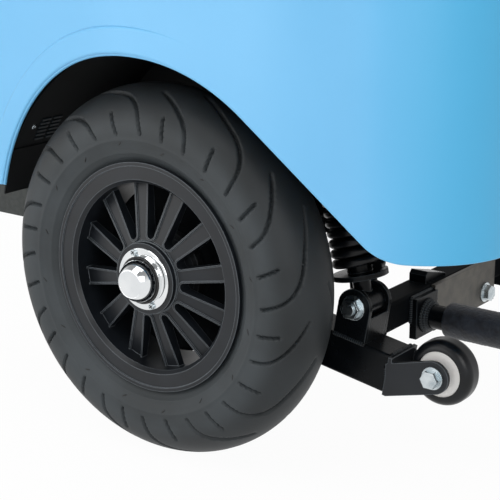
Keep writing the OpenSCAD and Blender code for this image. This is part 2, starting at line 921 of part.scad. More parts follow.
module pivot_bolt() {
  color("#b9c2c6") translate([pivot_x, 0, pivot_z]) {
    pin(pivot_r, sleeve_out, rail_y - sleeve_out - over);
    hex(leg_hex_r + washer_t * 2, sleeve_out - hex_h, hex_h);
  }
}

module weld_plate() {
  color("#1d2022") translate([cross_back, weld_y, weld_z]) cube([weld_t, weld_w, weld_h]);
}

module rear_bar() {
  color("#16191b") translate([cross_back + weld_t, bar_y, bar_z]) rotate([0, 90, 0])
    cylinder(r = bar_r, h = bar_end - cross_back - weld_t);
}

module soft_sleeve() {
  color("#2b2d35") translate([grip_x, bar_y, bar_z]) rotate([0, 90, 0]) difference() {
    cylinder(r = grip_r, h = bar_end - grip_bare - grip_x);
    translate([0, 0, -over]) cylinder(r = bar_r + slip, h = bar_end);
  }
}

module back_plate() {
  color("#3f4243") difference() {
    translate([cross_back, back_y, cross_top - back_h]) cube([back_t, back_w, back_h]);
    translate([cross_back - over, back_bolt_y, back_bolt_z]) rotate([0, 90, 0])
      cylinder(r = roller_bolt_r + slip, h = back_t + 2 * over);
  }
}

module back_bolt() {
  color("#b9c2c6") translate([cross_back, back_bolt_y, back_bolt_z]) rotate([0, 90, 0]) {
    cylinder(r = roller_bolt_r, h = back_t + washer_t + hex_h);
    translate([0, 0, back_t]) cylinder(r = roller_hex_r + washer_t, h = washer_t);
    translate([0, 0, back_t + washer_t]) cylinder(r = roller_hex_r, h = hex_h, $fn = 6);
  }
}

module body_tab() {
  color("#16191b") translate([0, tab_y, cross_top]) along_x(origin_x - tab_t * half_share, tab_t)
    polygon([[0, 0], [tab_w, 0], [tab_w, tab_end_h], [tab_bevel, tab_h], [0, tab_h - tab_bevel]]);
}

// Outlines of the mudguard, each drawn g inside the outer face; no two share a plane
module guard_side(g) {
  r = guard_edge_r - g;
  low = g > 0 ? -far : guard_low;
  front = guard_front + g - shoulder;
  rear = guard_rear - g + shoulder;
  top = guard_top - g + shoulder;
  rounded([[front, low], [rear, low], [rear, top], [front, top]], [0, 0, r, r]);
}

module guard_plan(g) {
  taper = atan2(guard_front_y - guard_y, guard_bend_x - guard_front);
  inner = g > 0 ? far : guard_in;
  nose = guard_front_y + g / cos(taper) - g * tan(taper);
  r = guard_bend_r - g;
  mid = [guard_bend_x + guard_bend_r * tan(taper * half_share), guard_y + guard_bend_r];
  leans = [for (i = [0 : bend_steps]) taper * (1 - i / bend_steps)];
  bend = [for (a = leans) mid - r * [sin(a), cos(a)]];
  rounded(
    concat([[guard_front + g, inner], [guard_front + g, nose]], bend,
      [[guard_rear - g, guard_y + g], [guard_rear - g, inner]]),
    concat([0, 0], [for (i = bend) 0], [guard_corner_r - g, 0])
  );
}

module guard_section(g) {
  inner = far + shoulder;
  low = -far - shoulder;
  out = guard_y + g - shoulder;
  top = guard_top - g;
  rounded([[out, low], [inner, low], [inner, top], [out, top]], [0, 0, 0, guard_edge_r - g]);
}

module guard_block(g) {
  intersection() {
    side(guard_y * 2, far * 2) guard_side(g);
    translate([0, 0, -far]) linear_extrude(height = far * 2) guard_plan(g);
    along_x(guard_front - over, far * 2) guard_section(g);
  }
}

module arch_cut() {
  touch = [arch_x, 0] + arc_point(arch_r, slope_turn);
  translate([arch_x, 0]) circle(r = arch_r);
  polygon([
    [arch_x, -far], [arch_x, 0], touch, [slope_x, guard_low_rear], [far, guard_low_rear], [far, -far]
  ]);
  corner_cut([slope_x, guard_low_rear], touch, [far, guard_low_rear], slope_r);
}

module mudguard() {
  color("#6fbde8") difference() {
    guard_block(0);
    guard_block(guard_wall);
    side(guard_y * 2, far) arch_cut();
  }
}

module inner_panel() {
  color("#101213") side(guard_in, panel_t) difference() {
    guard_side(guard_wall + shoulder);
    translate([-far, -far * 2]) square([far * 2, far * 2 + panel_low]);
    translate([panel_step, -far]) square([far, far + guard_low_rear]);
  }
}

// Black liner over the tyre, held by the inner panel
module liner() {
  color("#101213") translate([arch_x, guard_in, 0]) rotate([90, 0, 0]) rotate([0, 0, liner_from])
    rotate_extrude(angle = liner_to - liner_from)
      translate([liner_r, 0]) square([liner_t, guard_in - liner_y]);
}

/* [Nodes] */

seated() tyre();
seated() rim();
seated() hub();
seated() cap();
seated() cap_ring();
seated() cap_screw_upper();
seated() cap_screw_lower();
seated() valve();
seated() arm();
seated() axle_plate();
seated() stub_axle();
seated() ear_outer();
seated() ear_inner();
seated() leg_bolt();
seated() leg_nut();
seated() damper();
seated() spring_top();
seated() rod();
seated() coil();
seated() ear_back();
seated() brake_drum();
seated() brake_plate();
seated() fork();
seated() roller_tread();
seated() roller_hub();
seated() roller_bolt();
seated() roller_nut();
seated() cross_member();
seated() chassis_flange();
seated() tower();
seated() top_spacer();
seated() top_bolt();
seated() top_nut();
seated() side_rail();
seated() front_rail();
seated() kick_post();
seated() pivot_lug();
seated() pivot_bolt();
seated() weld_plate();
seated() rear_bar();
seated() soft_sleeve();
seated() back_plate();
seated() back_bolt();
seated() body_tab();
seated() mudguard();
seated() inner_panel();
seated() liner();
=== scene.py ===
# Rear wheel corner of a small electric scooter, dressed for a studio picture
import math

import bpy
import numpy as np
from mathutils import Matrix, Vector


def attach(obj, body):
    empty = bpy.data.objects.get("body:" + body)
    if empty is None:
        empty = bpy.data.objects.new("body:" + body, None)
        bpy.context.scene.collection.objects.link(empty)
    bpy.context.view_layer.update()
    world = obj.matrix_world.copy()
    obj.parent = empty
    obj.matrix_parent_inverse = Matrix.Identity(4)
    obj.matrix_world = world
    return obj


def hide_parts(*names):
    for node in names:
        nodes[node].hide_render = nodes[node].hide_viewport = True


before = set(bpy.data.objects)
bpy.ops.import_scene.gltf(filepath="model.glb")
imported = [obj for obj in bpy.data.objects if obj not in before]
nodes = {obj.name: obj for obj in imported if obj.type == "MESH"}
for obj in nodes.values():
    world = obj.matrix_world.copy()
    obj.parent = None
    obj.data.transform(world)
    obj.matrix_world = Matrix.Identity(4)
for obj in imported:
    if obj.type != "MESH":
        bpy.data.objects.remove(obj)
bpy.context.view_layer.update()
mm = 0.001
# Sizes below are in mm from the wheel's centre, unless noted
wheelCentre = Vector((-0.167, -0.4, 0.049))
wheelAxis = (0, 1, 0)
joinGap = 0.01
print("frame loaded:", len(nodes), "nodes")


# Small helpers

def toLinear(code):
    parts = [int(code[i:i + 2], 16) / 255 for i in (1, 3, 5)]
    return tuple(c / 12.92 if c <= 0.04045 else ((c + 0.055) / 1.055) ** 2.4 for c in parts) + (1.0,)


def addNode(tree, kind, settings=None, links=None):
    node = tree.nodes.new(kind)
    for key, value in (settings or {}).items():
        if isinstance(key, int) or key in node.inputs:
            node.inputs[key].default_value = value
        else:
            setattr(node, key, value)
    for socket, source in (links or {}).items():
        tree.links.new(source, node.inputs[socket])
    return node


def clearSelection():
    if bpy.context.object and bpy.context.object.mode != "OBJECT":
        bpy.ops.object.mode_set(mode="OBJECT")
    bpy.ops.object.select_all(action="DESELECT")


def pick(piece):
    clearSelection()
    piece.select_set(True)
    bpy.context.view_layer.objects.active = piece


def applyModifiers(piece):
    pick(piece)
    for modifier in list(piece.modifiers):
        bpy.ops.object.modifier_apply(modifier=modifier.name)


def settle(piece, place):
    pick(piece)
    piece.matrix_world = place @ piece.matrix_world
    bpy.ops.object.transform_apply(location=True, rotation=True, scale=True)


def faceOut(piece):
    pick(piece)
    bpy.ops.object.mode_set(mode="EDIT")
    bpy.ops.mesh.select_all(action="SELECT")
    bpy.ops.mesh.normals_make_consistent(inside=False)
    bpy.ops.object.mode_set(mode="OBJECT")


def spinLine(spots, turns, centre, axis, gap=joinGap):
    # turns a closed line of places into a ring
    clearSelection()
    bpy.ops.mesh.primitive_circle_add(vertices=len(spots))
    piece = bpy.context.object
    for vertex, spot in zip(piece.data.vertices, spots):
        vertex.co = spot
    bpy.ops.object.mode_set(mode="EDIT")
    bpy.ops.mesh.select_all(action="SELECT")
    bpy.ops.mesh.spin(steps=turns, angle=math.tau, center=centre, axis=axis)
    bpy.ops.mesh.select_all(action="SELECT")
    bpy.ops.mesh.remove_doubles(threshold=gap * mm)
    bpy.ops.object.mode_set(mode="OBJECT")
    faceOut(piece)
    return piece


def shellGrid(steps, placeOf, thick, offset):
    # a bent sheet: placeOf gives a place for each pair of shares along its two sides
    clearSelection()
    bpy.ops.mesh.primitive_grid_add(x_subdivisions=steps[0], y_subdivisions=steps[1], size=1)
    piece = bpy.context.object
    for vertex in piece.data.vertices:
        vertex.co = placeOf(vertex.co.x + 0.5, vertex.co.y + 0.5)
    shell = piece.modifiers.new("shell", "SOLIDIFY")
    shell.thickness = thick * mm
    shell.offset = offset
    applyModifiers(piece)
    return piece


def dress(piece, name, body, material, angle=35):
    piece.name = name
    piece.data.materials.clear()
    piece.data.materials.append(material)
    pick(piece)
    bpy.ops.object.shade_smooth_by_angle(angle=math.radians(angle))
    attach(piece, body)
    return piece


def atWheel(x, y, z):
    return wheelCentre + Vector((x, y, z)) * mm


# Camera, matched to the photograph's ellipses
shot = {
    "place": (0.6934, -1.4274, 0.4531),
    "right": (0.80386, 0.59482, 0.0),
    "up": (-0.16395, 0.22157, 0.96126),
    "lens": 100.83, "sensor": 36, "near": 0.05,
}
clearSelection()
bpy.ops.object.camera_add()
camera = bpy.context.object
right = Vector(shot["right"]).normalized()
up = Vector(shot["up"]).normalized()
look = Matrix((right, up, right.cross(up))).transposed().to_4x4()
look.translation = shot["place"]
camera.matrix_world = look
camera.data.sensor_width = shot["sensor"]
camera.data.sensor_fit = "HORIZONTAL"
camera.data.lens = shot["lens"]
camera.data.clip_start = shot["near"]
bpy.context.scene.camera = camera
bpy.context.scene.view_settings.view_transform = "Standard"
print("camera placed")


# Materials
mottle = {"low": 0.3, "high": 0.7, "patchDetail": 4.0, "grainDetail": 3.0, "relief": 0.6, "edgeSamples": 6}


def eased(tree, value, start, end, low=0.0, high=1.0):
    span = {"From Min": start, "From Max": end, "To Min": low, "To Max": high}
    ramp = addNode(tree, "ShaderNodeMapRange", {"interpolation_type": "SMOOTHSTEP", **span}, {"Value": value})
    return ramp.outputs["Result"]


def startMaterial(name):
    material = bpy.data.materials.new(name)
    material.use_nodes = True
    tree = material.node_tree
    tree.nodes.clear()
    shader = addNode(tree, "ShaderNodeBsdfPrincipled")
    addNode(tree, "ShaderNodeOutputMaterial", None, {"Surface": shader.outputs["BSDF"]})
    place = addNode(tree, "ShaderNodeTexCoord").outputs["Object"]
    return material, tree, shader, place


def mottled(name, dark, light, patch, grain, rough, bump, settings, edge=0.0):
    # patch, grain, bump and edge are sizes; rough is a low and a high value; edge softens sharp corners
    material, tree, shader, place = startMaterial(name)
    cloud = addNode(tree, "ShaderNodeTexNoise", {"Scale": 1 / (patch * mm), "Detail": mottle["patchDetail"]},
                    {"Vector": place}).outputs["Fac"]
    tone = addNode(tree, "ShaderNodeMix", {"data_type": "RGBA"},
                   {"Factor": eased(tree, cloud, mottle["low"], mottle["high"])})
    tone.inputs[6].default_value = toLinear(dark)
    tone.inputs[7].default_value = toLinear(light)
    tree.links.new(tone.outputs[2], shader.inputs["Base Color"])
    fine = addNode(tree, "ShaderNodeTexNoise", {"Scale": 1 / (grain * mm), "Detail": mottle["grainDetail"]},
                   {"Vector": place}).outputs["Fac"]
    gloss = addNode(tree, "ShaderNodeMapRange", {"To Min": rough[0], "To Max": rough[1]}, {"Value": cloud})
    tree.links.new(gloss.outputs["Result"], shader.inputs["Roughness"])
    relief = addNode(tree, "ShaderNodeBump", {"Strength": mottle["relief"], "Distance": bump * mm},
                     {"Height": fine})
    if edge:
        soft = addNode(tree, "ShaderNodeBevel", {"samples": mottle["edgeSamples"], "Radius": edge * mm})
        tree.links.new(soft.outputs["Normal"], relief.inputs["Normal"])
    tree.links.new(relief.outputs["Normal"], shader.inputs["Normal"])
    for key, value in settings.items():
        shader.inputs[key].default_value = value
    return material


# Vulcanised rubber: dull dark grey with a soft bloom, fine moulded grain
tyreRubber = mottled("vulcanisedRubber", "#2d3133", "#3a3f42", 70, 1.6, (0.46, 0.6), 0.12,
                     {"IOR": 1.5, "Specular IOR Level": 0.28})
# Satin powder coat on the cast rim and the fork: even charcoal with orange peel
rimCoat = mottled("satinPowderCoat", "#121519", "#191d22", 40, 2.2, (0.32, 0.44), 0.1,
                  {"IOR": 1.5, "Specular IOR Level": 0.32}, 0.8)
# Bright chromium plate: a mirror with faint haze
capChrome = mottled("chromiumPlate", "#dfe2e4", "#e9ebec", 25, 3.0, (0.03, 0.08), 0.01,
                    {"Metallic": 1.0}, 0.5)
# Zinc plated steel: pale, slightly blue, soft reflections
boltZinc = mottled("zincPlate", "#aab4b9", "#ccd3d6", 9, 1.2, (0.2, 0.36), 0.04, {"Metallic": 1.0}, 0.8)
# Gloss black enamel baked on steel: deep black with soft orange peel
frameEnamel = mottled("blackEnamel", "#05070a", "#0b0e11", 30, 3.5, (0.2, 0.34), 0.08,
                      {"IOR": 1.45, "Specular IOR Level": 0.14}, 1.2)
# Dull black primer on the frame's tubes, which show no sheen from above
framePrimer = mottled("dullPrimer", "#06080a", "#0c0f12", 30, 2.5, (0.6, 0.72), 0.1,
                      {"IOR": 1.45, "Specular IOR Level": 0.04}, 1.2)
# Spring steel in thin black paint
coilPaint = mottled("paintedSpringSteel", "#06070a", "#0e1013", 18, 2.5, (0.28, 0.42), 0.08,
                    {"IOR": 1.5, "Specular IOR Level": 0.25})
# Closed cell foam: dark, pitted skin with a soft shine
sleeveFoam = mottled("foamSleeve", "#181b21", "#292e37", 9, 1.7, (0.38, 0.5), 1.0, {"IOR": 1.42})
# Gloss moulded ABS: clean sky blue, near even, faint flow in the gloss
guardAbs = mottled("glossAbs", "#68b3e1", "#6cb6e4", 160, 6.0, (0.34, 0.42), 0.03,
                   {"IOR": 1.53, "Coat Weight": 0.15, "Coat Roughness": 0.38}, 1.5)
# Moulded polypropylene: matt black with a fine leather grain
panelPlastic = mottled("grainedPolypropylene", "#07090b", "#0e1113", 50, 1.8, (0.6, 0.75), 0.25,
                       {"IOR": 1.49, "Specular IOR Level": 0.25})
# Roller tread: harder, blacker rubber than the tyre
rollerRubber = mottled("rollerRubber", "#080a0d", "#101317", 15, 1.5, (0.24, 0.36), 0.06,
                       {"IOR": 1.5, "Specular IOR Level": 0.3})
# Cast nylon: off-white, slightly soft
rollerNylon = mottled("castNylon", "#efece8", "#f5f3f0", 14, 2.0, (0.35, 0.5), 0.04, {"IOR": 1.53}, 0.6)
# Cast and turned aluminium
hubAlloy = mottled("castAluminium", "#4a4d50", "#5d6164", 16, 1.5, (0.38, 0.55), 0.08,
                   {"Metallic": 1.0}, 0.8)
# Mill finish steel plate: brownish grey, streaked
plateSteel = mottled("millSteel", "#4b4945", "#5e5b55", 12, 1.4, (0.45, 0.6), 0.08, {"Metallic": 0.4}, 1.0)
# Pressed vinyl on the front rail: mid grey, dull
railVinyl = mottled("pressedVinyl", "#2f3231", "#3d403e", 6, 1.6, (0.6, 0.75), 0.3, {"IOR": 1.45}, 1.5)
# Moulded vent: dark slate plastic
ventPlastic = mottled("ventPlastic", "#131b20", "#1c262c", 10, 1.2, (0.4, 0.5), 0.05, {"IOR": 1.49})
# Moulded seal rubber, almost black
sealRubber = mottled("sealRubber", "#0b0c0d", "#141516", 8, 1.0, (0.5, 0.65), 0.05, {"IOR": 1.5})


def toneOf(material):
    tree = material.node_tree
    shader = next(node for node in tree.nodes if node.type == "BSDF_PRINCIPLED")
    return tree, shader, shader.inputs["Base Color"].links[0].from_socket


def blendTone(material, share, code):
    tree, shader, tone = toneOf(material)
    mixed = addNode(tree, "ShaderNodeMix", {"data_type": "RGBA"}, {"Factor": share})
    tree.links.new(tone, mixed.inputs[6])
    mixed.inputs[7].default_value = toLinear(code)
    tree.links.new(mixed.outputs[2], shader.inputs["Base Color"])


def alongX(tree):
    place = addNode(tree, "ShaderNodeTexCoord").outputs["Object"]
    return addNode(tree, "ShaderNodeSeparateXYZ", None, {"Vector": place}).outputs["X"]


# The tread band is darkened outwards from the hub: partly the tread's blacker rubber beside the bloomed
# sidewall, partly painted shade for the tread under the guard
treadToneAndShade = {"from": 150, "to": 170, "dark": 0.56}


def darkenTreadToneAndShade(material):
    tree, shader, tone = toneOf(material)
    place = addNode(tree, "ShaderNodeTexCoord").outputs["Object"]
    flat = addNode(tree, "ShaderNodeVectorMath", {"operation": "MULTIPLY", 1: (1, 0, 1)}, {0: place})
    hubSpot = (wheelCentre.x, 0, wheelCentre.z)
    reach = addNode(tree, "ShaderNodeVectorMath", {"operation": "DISTANCE", 1: hubSpot},
                    {0: flat.outputs["Vector"]})
    shade = eased(tree, reach.outputs["Value"], treadToneAndShade["from"] * mm, treadToneAndShade["to"] * mm,
                  1.0, treadToneAndShade["dark"])
    # part painted shade: the base colour is scaled down over the tread band
    black = addNode(tree, "ShaderNodeVectorMath", {"operation": "SCALE"}, {0: tone, "Scale": shade})
    tree.links.new(black.outputs["Vector"], shader.inputs["Base Color"])


darkenTreadToneAndShade(tyreRubber)

# Painted edge highlights: the colour is made paler along rounded edges, standing in for light caught on them
edgeHighlight = {"radius": 1.3, "level": 0.92, "samples": 6}


def paintEdgeHighlights(material, highlightTone):
    tree = material.node_tree
    soft = addNode(tree, "ShaderNodeBevel", {"samples": edgeHighlight["samples"], "Radius": edgeHighlight["radius"] * mm})
    sharp = addNode(tree, "ShaderNodeNewGeometry")
    match = addNode(tree, "ShaderNodeVectorMath", {"operation": "DOT_PRODUCT"},
                    {0: soft.outputs["Normal"], 1: sharp.outputs["Normal"]})
    highlightShare = addNode(tree, "ShaderNodeMapRange", {"From Min": 1.0, "From Max": edgeHighlight["level"]},
                   {"Value": match.outputs["Value"]})
    blendTone(material, highlightShare.outputs["Result"], highlightTone)


# painted highlights along the rim's and the frame's edges
paintEdgeHighlights(rimCoat, "#5e6469")
paintEdgeHighlights(frameEnamel, "#3d4347")

# The guard's moulding is softly crowned, so that light rolls over its bends.
# Each row is a span along x, from the part's origin, and how far the surface rises over it
guardCrown = [(-387.0, -227.0, -7.0), (-227.0, -67.0, 7.0), (-27.0, 183.0, -34.0)]


def crownGuard(material):
    tree = material.node_tree
    relief = next(node for node in tree.nodes if node.type == "BUMP")
    along = alongX(tree)
    total = None
    for start, end, rise in guardCrown:
        links = {0: eased(tree, along, start * mm, end * mm, 0.0, rise * mm)}
        if total:
            links[1] = total.outputs[0]
        total = addNode(tree, "ShaderNodeMath", {"operation": "ADD", 1: 0.0}, links)
    crown = addNode(tree, "ShaderNodeBump", {"Strength": 1.0, "Distance": 1.0}, {"Height": total.outputs[0]})
    tree.links.new(relief.inputs["Normal"].links[0].from_socket, crown.inputs["Normal"])
    tree.links.new(crown.outputs["Normal"], relief.inputs["Normal"])


crownGuard(guardAbs)

# Painted shade: the guard's blue deepens towards its rear edge, where less sheen falls, between these places
# along x from the part's origin
rearPaintedShade = {"from": 70, "to": 185, "tone": "#4ab2e2"}
guardTree = guardAbs.node_tree
blendTone(guardAbs, eased(guardTree, alongX(guardTree), rearPaintedShade["from"] * mm, rearPaintedShade["to"] * mm),
          rearPaintedShade["tone"])

finishes = [
    (frameEnamel, [
        "arm", "axle_plate", "ear_outer", "ear_inner", "damper", "spring_top",
        "pivot_lug", "weld_plate", "rear_bar", "body_tab", "ear_back",
    ]),
    (framePrimer, [
        "cross_member", "chassis_flange", "tower", "side_rail", "kick_post", "brake_drum", "brake_plate",
    ]),
    (plateSteel, ["back_plate"]),
    (railVinyl, ["front_rail"]),
    (boltZinc, [
        "stub_axle", "leg_bolt", "leg_nut", "roller_bolt", "roller_nut", "top_spacer", "top_bolt",
        "top_nut", "pivot_bolt", "back_bolt", "cap_screw_upper", "cap_screw_lower",
    ]),
    (rimCoat, ["rim", "fork"]),
    (capChrome, ["cap", "rod"]),
    (sealRubber, ["cap_ring", "valve"]),
    (tyreRubber, ["tyre"]),
    (coilPaint, ["coil"]),
    (sleeveFoam, ["soft_sleeve"]),
    (guardAbs, ["mudguard"]),
    (panelPlastic, ["inner_panel", "liner"]),
    (rollerRubber, ["roller_tread"]),
    (rollerNylon, ["roller_hub"]),
    (hubAlloy, ["hub"]),
]
for material, names in finishes:
    for name in names:
        nodes[name].data.materials.clear()
        nodes[name].data.materials.append(material)
print("materials made")


# Tyre with its road tread: angles go round the section, from its outermost point
tyre = {
    "reach": 144.8, "round": 43.2, "wall": 8.0, "skin": 1.0,
    "turns": 690, "joinGap": 0.02,
    "treadEdge": 96, "treadPoints": 107,
    "sidePoints": (98, 99.5, 101, 103, 106, 110, 114, 116, 117.5, 119, 121, 124, 127, 130),
    "bead": ((113.0, 31.0), (103.0, 31.0), (103.0, 23.0)), "lining": (120, 60, 0, -60, -120),
    "ribs": (99.5, 117.5), "ribHeight": 0.7, "ribWidth": 1.6,
    "repeats": 8, "start": 44.0, "farShift": 22.5,
    "depth": 4.2, "halfWidth": 2.0, "bevel": 1.7, "tipShare": 0.35, "tipRate": 3.0,
}
# Grooves as turn and section angle in degrees, each from the tip to the shoulder
treadGrooves = [
    (0.0, [(29.5, -6), (18, -25.5), (9, -36.5), (3.0, -56), (0, -90)]),
    (-21.5, [(18.5, -26), (8.5, -49), (2.6, -67), (0, -91)]),
    (-10.6, [(2.0, -62), (0, -91)]),
    (-32.8, [(2.0, -62), (0, -91)]),
]


def softened(points, rounds=3):
    line = [Vector(p) for p in points]
    for _ in range(rounds):
        cut = [line[0]]
        for a, b in zip(line[:-1], line[1:]):
            cut += [a.lerp(b, 0.25), a.lerp(b, 0.75)]
        line = cut + [line[-1]]
    return line


def grooveDepth(turn, section):
    reach, radius = tyre["reach"], tyre["round"]
    pitch = 360 / tyre["repeats"]
    local = reach + radius * np.cos(np.radians(section))
    deepest = np.zeros_like(turn)
    for side, shift in ((1, 0.0), (-1, tyre["farShift"])):
        lateral = section * side
        along = (turn - tyre["start"] - shift) % pitch
        for offset, points in treadGrooves:
            line = softened(points)
            for wrap in (-pitch, 0, pitch):
                u = np.radians(along + wrap - offset) * local
                v = np.radians(lateral) * radius
                for i, (a, b) in enumerate(zip(line[:-1], line[1:])):
                    au, av = np.radians(a.x) * local, math.radians(a.y) * radius
                    du, dv = np.radians(b.x - a.x) * local, math.radians(b.y - a.y) * radius
                    t = np.clip(((u - au) * du + (v - av) * dv) / (du * du + dv * dv), 0, 1)
                    gap = np.hypot(u - au - t * du, v - av - t * dv)
                    fade = min(1.0, tyre["tipShare"] + tyre["tipRate"] * (i + 1) / len(line))
                    cut = np.clip((tyre["halfWidth"] - gap) / tyre["bevel"], 0, 1) * fade
                    deepest = np.maximum(deepest, cut)
    return deepest * tyre["depth"]


def makeTyre():
    reach, radius = tyre["reach"], tyre["round"]
    crown = np.linspace(-tyre["treadEdge"], tyre["treadEdge"], tyre["treadPoints"])
    side = np.array(tyre["sidePoints"], float)
    outer = np.concatenate([-side[::-1], crown, side])
    ring = [(reach + radius * math.cos(a), radius * math.sin(a)) for a in np.radians(outer)]
    inner = radius - tyre["wall"]
    ring += tyre["bead"]
    ring += [(reach + inner * math.cos(a), inner * math.sin(a)) for a in np.radians(tyre["lining"])]
    ring += [(r, -y) for r, y in reversed(tyre["bead"])]
    spots = [atWheel(r, y, 0) for r, y in ring]
    piece = spinLine(spots, tyre["turns"], wheelCentre, wheelAxis, tyre["joinGap"])
    mesh = piece.data
    points = np.zeros(len(mesh.vertices) * 3)
    mesh.vertices.foreach_get("co", points)
    points = points.reshape(-1, 3)
    x, y, z = ((points - np.array(wheelCentre)) / mm).T
    rho = np.hypot(x, z)
    turn = np.degrees(np.arctan2(z, x))
    section = np.degrees(np.arctan2(y, rho - reach))
    skin = np.hypot(rho - reach, y) > radius - tyre["skin"]
    lift = np.zeros_like(rho)
    for rib in tyre["ribs"]:
        off = np.radians(np.abs(section) - rib) * radius
        lift += tyre["ribHeight"] * np.exp(-(off / tyre["ribWidth"]) ** 2)
    change = np.where(skin, lift - grooveDepth(turn, section), 0.0)
    out = np.stack([(rho - reach), y], 1) / np.hypot(rho - reach, y)[:, None]
    rhoNew = rho + out[:, 0] * change
    points[:, 0] = wheelCentre.x + x / rho * rhoNew * mm
    points[:, 1] = wheelCentre.y + (y + out[:, 1] * change) * mm
    points[:, 2] = wheelCentre.z + z / rho * rhoNew * mm
    mesh.vertices.foreach_set("co", points.ravel())
    mesh.update()
    dress(piece, "roadTyre", "wheel", tyreRubber, angle=40)
    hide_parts("tyre")


makeTyre()
print("tyre made")


# Coil spring
coil = {
    "mid": 21.6, "wire": 4.5, "turns": 15, "base": (180, 80, -20), "foot": 31.0, "length": 159.16,
    "lean": 12.03, "wireSides": 16, "steps": 40,
}


def makeCoil():
    clearSelection()
    bpy.ops.mesh.primitive_circle_add(vertices=coil["wireSides"], radius=coil["wire"] * mm,
                                      rotation=(math.pi / 2, 0, 0))
    piece = bpy.context.object
    settle(piece, Matrix.Translation((coil["mid"] * mm, 0, (coil["foot"] + coil["wire"]) * mm)))
    screw = piece.modifiers.new("turns", "SCREW")
    screw.angle = math.tau * coil["turns"]
    screw.screw_offset = (coil["length"] - 2 * coil["wire"]) * mm
    screw.steps = screw.render_steps = coil["steps"] * coil["turns"]
    screw.use_merge_vertices = True
    applyModifiers(piece)
    bpy.ops.object.mode_set(mode="EDIT")
    bpy.ops.mesh.select_all(action="DESELECT")
    bpy.ops.mesh.select_non_manifold()
    bpy.ops.mesh.fill_holes(sides=0)
    bpy.ops.object.mode_set(mode="OBJECT")
    faceOut(piece)
    lean = Matrix.Rotation(math.radians(-coil["lean"]), 4, "Y")
    settle(piece, Matrix.Translation(atWheel(*coil["base"])) @ lean)
    dress(piece, "coilSpring", "frame", coilPaint, angle=50)
    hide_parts("coil")


makeCoil()
print("coil made")


# Hub cap, turned as one smooth piece
hubCap = {
    "face": -38.0, "flange": 31.3, "thick": 2.0, "rise": 4.0, "dome": 21.5, "flat": 20.0,
    "ring": 2.4, "ringHigh": 1.6, "slip": 0.05, "slope": 0.6, "edge": 0.5,
    "arcSteps": 28, "beadSteps": 10, "turns": 160,
}


def turnPiece(line):
    # spins a closed line of radius and height pairs round the wheel's axis
    spots = [atWheel(r, hubCap["face"] - h, 0) for r, h in line]
    return spinLine(spots, hubCap["turns"], wheelCentre, wheelAxis)


def makeCap():
    thick, edge, flange = hubCap["thick"], hubCap["edge"], hubCap["flange"]
    seat = thick + hubCap["rise"]
    ringR = hubCap["dome"] + hubCap["ring"]
    topLift = math.asin((hubCap["flat"] - hubCap["rise"]) / hubCap["dome"])
    top = thick + hubCap["flat"]
    flatR = hubCap["dome"] * math.cos(topLift)
    line = [(0, top), (flatR - 2 * edge, top), (flatR - edge, top - edge / 2), (flatR - edge / 2, top)]
    for i in range(hubCap["arcSteps"] + 1):
        lift = topLift * (1 - i / hubCap["arcSteps"])
        line.append((hubCap["dome"] * math.cos(lift), seat + hubCap["dome"] * math.sin(lift)))
    line += [(ringR - edge, seat), (ringR, seat - edge), (ringR + hubCap["slope"], thick + edge)]
    line += [(ringR + hubCap["slope"] + edge, thick), (flange - edge, thick)]
    line += [(flange, thick - edge), (flange, 0), (0, 0)]
    piece = dress(turnPiece(line), "hubCap", "wheel", capChrome, angle=25)
    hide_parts("cap")
    inner = hubCap["dome"] + hubCap["slip"]
    half = (ringR - inner) / 2
    crest = seat + hubCap["ringHigh"]
    bead = [(inner, seat), (inner, crest - half)]
    for i in range(1, hubCap["beadSteps"]):
        lean = math.pi * i / hubCap["beadSteps"]
        bead.append((inner + half * (1 - math.cos(lean)), crest - half * (1 - math.sin(lean))))
    bead += [(ringR, crest - half), (ringR, seat)]
    piece = dress(turnPiece(bead), "capRing", "wheel", sealRubber, angle=40)
    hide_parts("cap_ring")


makeCap()
print("cap made")


# Mudguard trim: the raised border of the arch and the rolled edge round it
guard = {
    "face": -60.0, "front": -300.0, "frontFace": -2.0, "bendX": -20.0, "bendR": 400.0,
    "rear": 355.0, "inboard": 150.0, "cornerR": 90.0, "low": 62.0, "lowRear": 72.0,
    "archX": 3.0, "archR": 221.5, "slopeX": 278.0, "slopeR": 65.0, "wall": 4.0,
}
border = {
    "width": 26.0, "rise": 2.0, "shoulder": 3.4, "least": 0.2, "sunk": 0.1, "thick": 0.6,
    "from": 58.0, "fadeFrom": 68.0, "fadeTo": 104.0, "steps": (180, 34),
}
rolledEdge = {"radius": 2.1, "sides": 4, "arcSteps": 90, "cornerSteps": 24}


def guardFace(x, inset=0.0):
    taper = math.atan2(guard["frontFace"] - guard["face"], guard["bendX"] - guard["front"])
    midX = guard["bendX"] + guard["bendR"] * math.tan(taper / 2)
    cornerX = guard["rear"] - guard["cornerR"]
    if x > cornerX:
        radius = guard["cornerR"] - inset
        return guard["face"] + guard["cornerR"] - math.sqrt(max(radius ** 2 - (x - cornerX) ** 2, 0))
    if x > midX:
        return guard["face"] + inset
    if x > midX - guard["bendR"] * math.sin(taper):
        radius = guard["bendR"] - inset
        return guard["face"] + guard["bendR"] - math.sqrt(radius ** 2 - (x - midX) ** 2)
    return guard["frontFace"] + (guard["front"] - x) * math.tan(taper) + inset / math.cos(taper)


